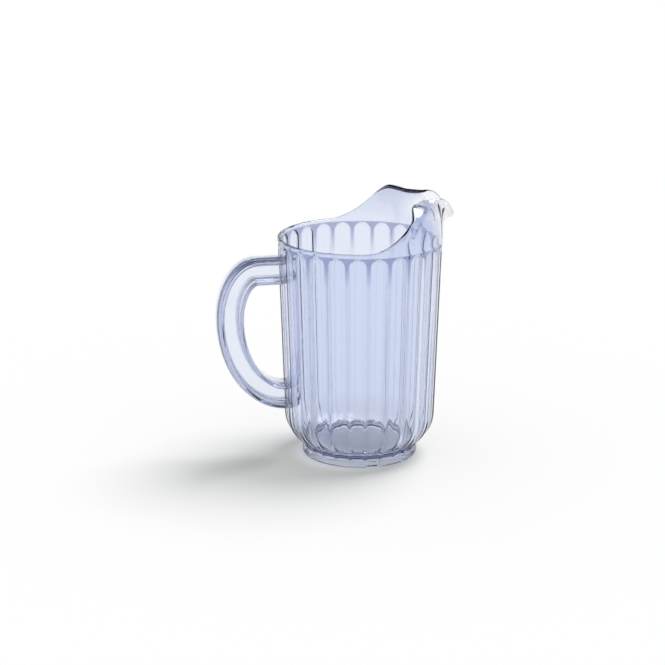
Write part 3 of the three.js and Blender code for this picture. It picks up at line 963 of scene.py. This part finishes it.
def clear_plastic(name, tint, density, settings, is_body):
    """Clear tinted plastic that darkens with depth and lets lamps through."""
    looks = settings.looks
    foot_height = settings.body.foot_round if is_body else NO_FOOT
    material = bpy.data.materials.new(name)
    nodes = fresh_nodes(material)
    surface = add_surface(nodes, tint, CLEAR_WORN, looks.polish, looks.scuff, foot_height, CLEAR_WAVES)
    coloured = surface["Color"]
    shade = (*looks.shade_tint, 1)
    if is_body:
        coloured, shade = body_tints(nodes, settings, coloured, shade)
    plastic = add_plastic(nodes, surface, coloured, CLEAR_BUMP, looks.ior, 1.0)
    path = nodes.add("ShaderNodeLightPath").outputs
    passes = nodes.math("MAXIMUM", path["Is Shadow Ray"], path["Is Diffuse Ray"])
    film = nodes.out("ShaderNodeBsdfTransparent", {"Color": shade})
    mixed = nodes.out("ShaderNodeMixShader", {0: passes, 1: plastic, 2: film})
    absorbed = {"Color": (*looks.depth_tint, 1), "Density": density}
    depth = nodes.out("ShaderNodeVolumeAbsorption", absorbed)
    nodes.add("ShaderNodeOutputMaterial", {"Surface": mixed, "Volume": depth})
    return material


def milky_plastic(name, tint, looks):
    """Plastic that no longer lets light through, where it is bonded or scuffed."""
    material = bpy.data.materials.new(name)
    nodes = fresh_nodes(material)
    surface = add_surface(nodes, tint, MILKY_WORN, MILKY_POLISH, MILKY_SCUFF, NO_FOOT, MILKY_WAVES)
    plastic = add_plastic(nodes, surface, surface["Color"], MILKY_BUMP, looks.ior, 0.0)
    nodes.add("ShaderNodeOutputMaterial", {"Surface": plastic})
    return material


def floor_material(stage):
    """Matt white floor."""
    material = bpy.data.materials.new("studio_floor")
    nodes = fresh_nodes(material)
    matt = nodes.out("ShaderNodeBsdfDiffuse", {"Color": (*stage.floor_colour, 1)})
    nodes.add("ShaderNodeOutputMaterial", {"Surface": matt})
    return material


# Stage


def make_world(stage):
    """Even white light, which the plastic sees with a darker ceiling."""
    world = bpy.data.worlds.new("studio_world")
    bpy.context.scene.world = world
    nodes = fresh_nodes(world)
    path = nodes.add("ShaderNodeLightPath").outputs
    up = nodes.xyz(nodes.add("ShaderNodeTexCoord").outputs["Generated"])["Z"]
    unseen = nodes.minus(1.0, path["Is Camera Ray"])
    overhead = nodes.times(nodes.fade(up, *CEILING_RANGE), unseen)
    sky = nodes.mix(overhead, WHITE, (*stage.ceiling, 1))
    seen = nodes.math("MAXIMUM", path["Is Camera Ray"], path["Is Glossy Ray"])
    seen = nodes.math("MAXIMUM", seen, path["Is Transmission Ray"])
    shown = nodes.out("ShaderNodeBackground", {"Color": sky, "Strength": 1.0})
    light = nodes.out("ShaderNodeBackground", {"Color": WHITE, "Strength": stage.world_light})
    mixed = nodes.out("ShaderNodeMixShader", {0: seen, 1: light, 2: shown})
    nodes.add("ShaderNodeOutputWorld", {"Surface": mixed})


def make_floor(stage):
    """A round floor that reaches past the camera's view."""
    turns = np.linspace(0, math.tau, FLOOR_SIDES, endpoint=False)
    radius, z = stage.floor_radius, -FLOOR_GAP
    points = [(radius * math.cos(t), radius * math.sin(t), z) for t in turns]
    mesh = bpy.data.meshes.new("studio_floor")
    mesh.from_pydata(points, [], [list(range(len(points)))])
    mesh.materials.append(floor_material(stage))
    floor = add_object("studio_floor", mesh)


def direction(azimuth, elevation):
    """The way from the pitcher to something at an azimuth and an elevation."""
    flat = math.cos(elevation)
    return Vector((math.sin(azimuth) * flat, -math.cos(azimuth) * flat, math.sin(elevation)))


def turn_along(obj, way):
    """Turns a light or a camera so that it looks along a way."""
    obj.rotation_euler = way.to_track_quat("-Z", "Y").to_euler()


def make_sun(stage):
    """One broad soft light."""
    lamp = bpy.data.lights.new("main_light", "SUN")
    lamp.energy = stage.sun_light
    lamp.angle = stage.sun_spread
    sun = add_object("main_light", lamp)
    toward = direction(stage.sun_azimuth, stage.sun_elevation)
    sun.location = toward * SUN_DISTANCE
    turn_along(sun, -toward)


def make_camera(settings):
    """The photograph's camera."""
    stage = settings.stage
    data = bpy.data.cameras.new("photo_camera")
    data.sensor_width = SENSOR_WIDTH
    data.lens = stage.lens
    camera = add_object("photo_camera", data)
    back = direction(stage.azimuth, stage.elevation)
    right = Vector((math.cos(stage.azimuth), math.sin(stage.azimuth), 0))
    middle = Vector((axis_x(settings), 0, stage.focus_height))
    aim = middle - right * stage.aim_left - back.cross(right) * stage.aim_down
    camera.location = middle + back * stage.distance
    turn_along(camera, aim - camera.location)
    bpy.context.scene.camera = camera


# Operators and panel


class PITCHER_OT_stage(bpy.types.Operator):
    """Make the floor, the light and the camera"""

    bl_idname = "pitcher.make_stage"
    bl_label = "Stage"

    def execute(self, context):
        settings = context.scene.pitcher
        context.scene.view_settings.view_transform = "Standard"
        make_world(settings.stage)
        make_floor(settings.stage)
        make_sun(settings.stage)
        make_camera(settings)
        return {"FINISHED"}


class PITCHER_OT_body(bpy.types.Operator):
    """Make the fluted body with its foot, hood and spout"""

    bl_idname = "pitcher.make_body"
    bl_label = "Body"

    def execute(self, context):
        settings = context.scene.pitcher
        looks = settings.looks
        tint, density = looks.body_tint, looks.body_density
        plain = add_object("plain_body", BodyShape(settings).mesh("plain_body"))
        values = {
            "Axis X": axis_x(settings),
            "Plastic": clear_plastic("body_plastic", tint, density, settings, True),
            "Worn": milky_plastic("worn_foot_ring", looks.worn_tint, looks),
            **flute_values(settings.body),
        }
        body = run_nodes(plain, fluted_wall_tree(), values, "clear_body")
        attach(body, "root")
        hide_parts("pitcher_body")
        return {"FINISHED"}


class PITCHER_OT_handle(bpy.types.Operator):
    """Make the handle, which ends on the body's wall"""

    bl_idname = "pitcher.make_handle"
    bl_label = "Handle"

    def execute(self, context):
        settings = context.scene.pitcher
        looks = settings.looks
        path = poly_curve("handle_line", [(x, 0, z) for x, z in handle_line(settings)], False)
        outline = handle_section(settings.handle)
        section = poly_curve("handle_section", [(y, x, 0) for x, y in outline], True)
        tint, density = looks.handle_tint, looks.handle_density
        values = {
            "Section": section,
            "Axis X": axis_x(settings),
            "Taper": settings.body.taper,
            "Joint Gap": settings.handle.joint_gap,
            "Plastic": clear_plastic("handle_plastic", tint, density, settings, False),
            "Bond": milky_plastic("handle_bond", looks.bond_tint, looks),
            **flute_values(settings.body),
        }
        handle = run_nodes(path, swept_handle_tree(), values, "clear_handle")
        bpy.data.objects.remove(section)
        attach(handle, "root")
        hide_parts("handle")
        return {"FINISHED"}


class PITCHER_PT_panel(bpy.types.Panel):
    """The pitcher's pieces and settings"""

    bl_label = "Pitcher"
    bl_idname = "PITCHER_PT_panel"
    bl_space_type = "VIEW_3D"
    bl_region_type = "UI"
    bl_category = "Pitcher"

    def draw(self, context):
        settings = context.scene.pitcher
        for operator in OPERATORS:
            self.layout.operator(operator.bl_idname)
        for group in (settings.body, settings.hood, settings.handle, settings.looks, settings.stage):
            box = self.layout.box()
            for name in group.__annotations__:
                box.prop(group, name)


OPERATORS = (PITCHER_OT_stage, PITCHER_OT_body, PITCHER_OT_handle)
CLASSES = (
    PitcherBodySizes,
    PitcherHoodSizes,
    PitcherHandleSizes,
    PitcherLooks,
    PitcherStage,
    PitcherSettings,
    *OPERATORS,
    PITCHER_PT_panel,
)


def register():
    """Adds the classes and the scene's settings."""
    for cls in CLASSES:
        bpy.utils.register_class(cls)
    bpy.types.Scene.pitcher = pointer("Pitcher", PitcherSettings, "All settings of the pitcher")


def unregister():
    """Takes the settings and the classes away again."""
    del bpy.types.Scene.pitcher
    for cls in reversed(CLASSES):
        bpy.utils.unregister_class(cls)


def main():
    """Makes the stage and both pieces."""
    register()
    bpy.ops.pitcher.make_stage()
    bpy.ops.pitcher.make_body()
    bpy.ops.pitcher.make_handle()


if __name__ == "__main__":
    main()
